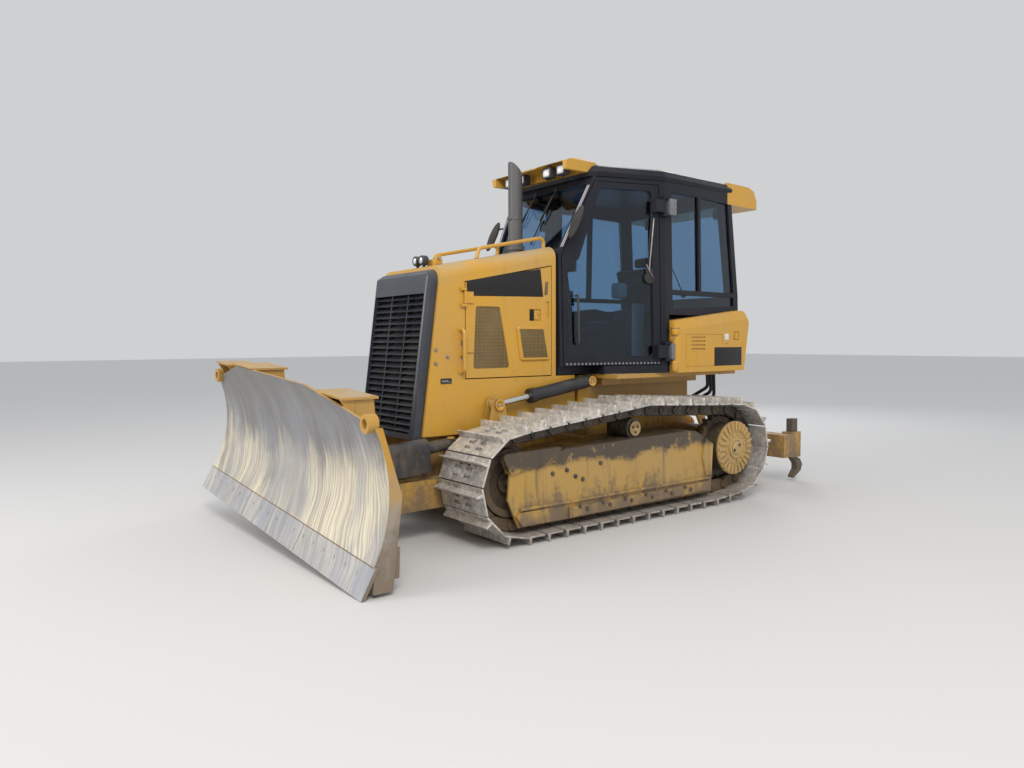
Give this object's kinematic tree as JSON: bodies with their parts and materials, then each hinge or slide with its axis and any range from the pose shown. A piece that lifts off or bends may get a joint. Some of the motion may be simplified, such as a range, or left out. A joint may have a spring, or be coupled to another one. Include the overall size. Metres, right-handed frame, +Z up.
{
  "type": "track-type dozer",
  "caption": "Small crawler dozer: enclosed cab, angling and tilting blade on a push frame, sloped hood with louvred grille, steel tracks and a rear ripper.",
  "frame": {"origin": "on the ground under the tracks, on the centreline, midway between the cutting edge's front and the ripper's rear", "axes": "+X forward, +Y to the machine's left, +Z up"},
  "size_m": [4.96, 2.7868, 2.8],
  "materials": {
    "black_paint": "satin black",
    "cab_plastic": "matt",
    "cast_dark": "dark cast metal",
    "dusty_tan": "faded, dust-covered yellow",
    "edge_steel": "bluish grey worn steel",
    "exhaust_grey": "heat-greyed",
    "grille_black": "satin blue-black",
    "lamp_white": "clear lens over a bright bowl",
    "machine_yellow": "dusty satin machine yellow",
    "rod_chrome": "bright plated",
    "seat_cloth": "dark woven",
    "tinted_glass": "blue-tinted",
    "track_steel": "worn brown-grey steel",
    "worn_blade": "polished by soil"
  },
  "bodies": {
    "chassis": {"cab_controls": "cab_plastic", "cab_glass": "tinted_glass", "cab_roof": "black_paint", "cab_shell": "black_paint", "cross_members": "machine_yellow", "engine_block": "cast_dark", "exhaust_stack": "exhaust_grey", "fuel_tank": "machine_yellow", "grille": "grille_black", "grille_frame": "grille_black", "hood": "dusty_tan", "hood_base": "machine_yellow", "hood_rails": "machine_yellow", "hoses": "cab_plastic", "idlers": "track_steel", "lamps": "lamp_white", "lift_brackets": "machine_yellow", "main_frame": "machine_yellow", "platform": "machine_yellow", "radiator_core": "cast_dark", "roof_brow": "machine_yellow", "roof_rear_cap": "machine_yellow", "seat_base": "cab_plastic", "seat_cushions": "seat_cloth", "side_boxes": "machine_yellow", "sprockets": "track_steel", "track_frames": "machine_yellow", "track_left": "track_steel", "track_right": "track_steel", "track_rollers": "track_steel"},
    "door_left": {"door_left": "black_paint", "door_left_glass": "tinted_glass"},
    "door_right": {"door_right": "black_paint", "door_right_glass": "tinted_glass"},
    "engine_door_left": {"engine_door_left": "machine_yellow"},
    "engine_door_right": {"engine_door_right": "machine_yellow"},
    "push_frame": {"push_frame": "machine_yellow"},
    "blade_swivel": {"blade_swivel": "cast_dark", "tower_cap": "machine_yellow"},
    "blade": {"blade": "worn_blade", "blade_braces": "machine_yellow", "cutting_edge": "edge_steel", "lifting_eyes": "machine_yellow"},
    "ripper_arms": {"ripper_arms": "machine_yellow"},
    "ripper_links": {"ripper_links": "machine_yellow"},
    "ripper_beam": {"ripper_beam": "machine_yellow", "ripper_shanks": "track_steel"},
    "tilt_barrel": {"tilt_barrel": "machine_yellow"},
    "tilt_rod": {"tilt_rod": "rod_chrome"},
    "ripper_barrel": {"ripper_barrel": "machine_yellow"},
    "ripper_rod": {"ripper_rod": "rod_chrome"},
    "lift_barrel_left": {"lift_barrel_left": "black_paint"},
    "lift_rod_left": {"lift_rod_left": "rod_chrome"},
    "lift_barrel_right": {"lift_barrel_right": "black_paint"},
    "lift_rod_right": {"lift_rod_right": "rod_chrome"},
    "angle_barrel_left": {"angle_barrel_left": "black_paint"},
    "angle_rod_left": {"angle_rod_left": "rod_chrome"},
    "angle_barrel_right": {"angle_barrel_right": "black_paint"},
    "angle_rod_right": {"angle_rod_right": "rod_chrome"}
  },
  "joints": [
    {"name": "door_left_hinge", "type": "hinge", "parent": "chassis", "child": "door_left", "pos_m": [-0.575, 0.754, 1.085], "axis": [0, -0.026, 0.9997], "range_deg": [0, 120]},
    {"name": "door_right_hinge", "type": "hinge", "parent": "chassis", "child": "door_right", "pos_m": [-0.575, -0.754, 1.085], "axis": [0, 0.026, 0.9997], "range_deg": [-120, 0]},
    {"name": "engine_door_left_hinge", "type": "hinge", "parent": "chassis", "child": "engine_door_left", "pos_m": [1.168, 0.427, 1.485], "axis": [0, 0, 1], "range_deg": [-75, 0]},
    {"name": "engine_door_right_hinge", "type": "hinge", "parent": "chassis", "child": "engine_door_right", "pos_m": [1.168, -0.427, 1.485], "axis": [0, 0, 1], "range_deg": [0, 75]},
    {"name": "blade_lift", "type": "hinge", "parent": "chassis", "child": "push_frame", "pos_m": [-0.06, 0, 0.33], "axis": [0, -1, 0], "range_deg": [-13, 17.6]},
    {"name": "blade_angle", "type": "hinge", "parent": "push_frame", "child": "blade_swivel", "pos_m": [2.08, 0, 0.31], "axis": [0, 0, 1], "range_deg": [-25, 25]},
    {"name": "blade_tilt", "type": "hinge", "parent": "blade_swivel", "child": "blade", "pos_m": [2.08, 0, 0.31], "axis": [1, 0, 0], "range_deg": [-4, 12]},
    {"name": "ripper_lift", "type": "hinge", "parent": "chassis", "child": "ripper_arms", "pos_m": [-1.4, 0, 0.42], "axis": [0, 1, 0], "range_deg": [-35.5, 28]},
    {"name": "ripper_beam_pivot", "type": "hinge", "parent": "ripper_arms", "child": "ripper_beam", "pos_m": [-2.055, 0, 0.34], "axis": [0, 1, 0], "range_deg": [-28.5, 36]},
    {"name": "ripper_link_pivot", "type": "hinge", "parent": "chassis", "child": "ripper_links", "pos_m": [-1.4, 0, 0.69], "axis": [0, 1, 0], "range_deg": [-36, 28.5]},
    {"name": "lift_barrel_left_pivot", "type": "hinge", "parent": "chassis", "child": "lift_barrel_left", "pos_m": [0.03, 0.478, 1.03], "axis": [0, -1, 0], "range_deg": [-13.56, 18.25]},
    {"name": "lift_rod_left_slide", "type": "slide", "parent": "lift_barrel_left", "child": "lift_rod_left", "axis": [0.9886, 0, -0.1504], "range_m": [-0.2157, 0.1598]},
    {"name": "angle_barrel_left_pivot", "type": "hinge", "parent": "push_frame", "child": "angle_barrel_left", "pos_m": [1.33, 0.473, 0.64], "axis": [0.0743, 0.0063, 0.9972], "range_deg": [-4.28, 4.28]},
    {"name": "angle_rod_left_slide", "type": "slide", "parent": "angle_barrel_left", "child": "angle_rod_left", "axis": [0.9936, 0.0849, -0.0746], "range_m": [-0.2312, 0.2312]},
    {"name": "lift_barrel_right_pivot", "type": "hinge", "parent": "chassis", "child": "lift_barrel_right", "pos_m": [0.03, -0.478, 1.03], "axis": [0, -1, 0], "range_deg": [-13.56, 18.25]},
    {"name": "lift_rod_right_slide", "type": "slide", "parent": "lift_barrel_right", "child": "lift_rod_right", "axis": [0.9886, 0, -0.1504], "range_m": [-0.2157, 0.1598]},
    {"name": "angle_barrel_right_pivot", "type": "hinge", "parent": "push_frame", "child": "angle_barrel_right", "pos_m": [1.33, -0.473, 0.64], "axis": [0.0743, -0.0063, 0.9972], "range_deg": [-4.28, 4.28]},
    {"name": "angle_rod_right_slide", "type": "slide", "parent": "angle_barrel_right", "child": "angle_rod_right", "axis": [0.9936, -0.0849, -0.0746], "range_m": [-0.2312, 0.2312]},
    {"name": "tilt_barrel_pivot", "type": "hinge", "parent": "blade_swivel", "child": "tilt_barrel", "pos_m": [2.08, 0, 0.895], "axis": [1, 0, 0], "range_deg": [-3.98, 11.34]},
    {"name": "tilt_rod_slide", "type": "slide", "parent": "tilt_barrel", "child": "tilt_rod", "axis": [0, -0.9999, 0.0116], "range_m": [-0.0428, 0.1243]},
    {"name": "ripper_barrel_pivot", "type": "hinge", "parent": "chassis", "child": "ripper_barrel", "pos_m": [-1.425, 0, 0.83], "axis": [0, 1, 0], "range_deg": [-23.55, 18.64]},
    {"name": "ripper_rod_slide", "type": "slide", "parent": "ripper_barrel", "child": "ripper_rod", "axis": [-0.7654, 0, -0.6436], "range_m": [-0.1555, 0.1967]}
  ],
  "couplings": [
    {"joint": "ripper_beam_pivot", "follows": "ripper_lift", "ratio": -1},
    {"joint": "ripper_link_pivot", "follows": "ripper_lift", "ratio": 1},
    {"joint": "lift_barrel_left_pivot", "follows": "blade_lift", "ratio": 1.02},
    {"joint": "lift_rod_left_slide", "follows": "blade_lift", "m_per_rad": -0.6956},
    {"joint": "angle_barrel_left_pivot", "follows": "blade_angle", "ratio": 0.159},
    {"joint": "angle_rod_left_slide", "follows": "blade_angle", "m_per_rad": -0.5254},
    {"joint": "lift_barrel_right_pivot", "follows": "blade_lift", "ratio": 1.02},
    {"joint": "lift_rod_right_slide", "follows": "blade_lift", "m_per_rad": -0.6956},
    {"joint": "angle_barrel_right_pivot", "follows": "blade_angle", "ratio": 0.159},
    {"joint": "angle_rod_right_slide", "follows": "blade_angle", "m_per_rad": 0.5254},
    {"joint": "tilt_barrel_pivot", "follows": "blade_tilt", "ratio": 0.92},
    {"joint": "tilt_rod_slide", "follows": "blade_tilt", "m_per_rad": 0.584},
    {"joint": "ripper_barrel_pivot", "follows": "ripper_lift", "ratio": 0.655},
    {"joint": "ripper_rod_slide", "follows": "ripper_lift", "m_per_rad": -0.3142}
  ]
}
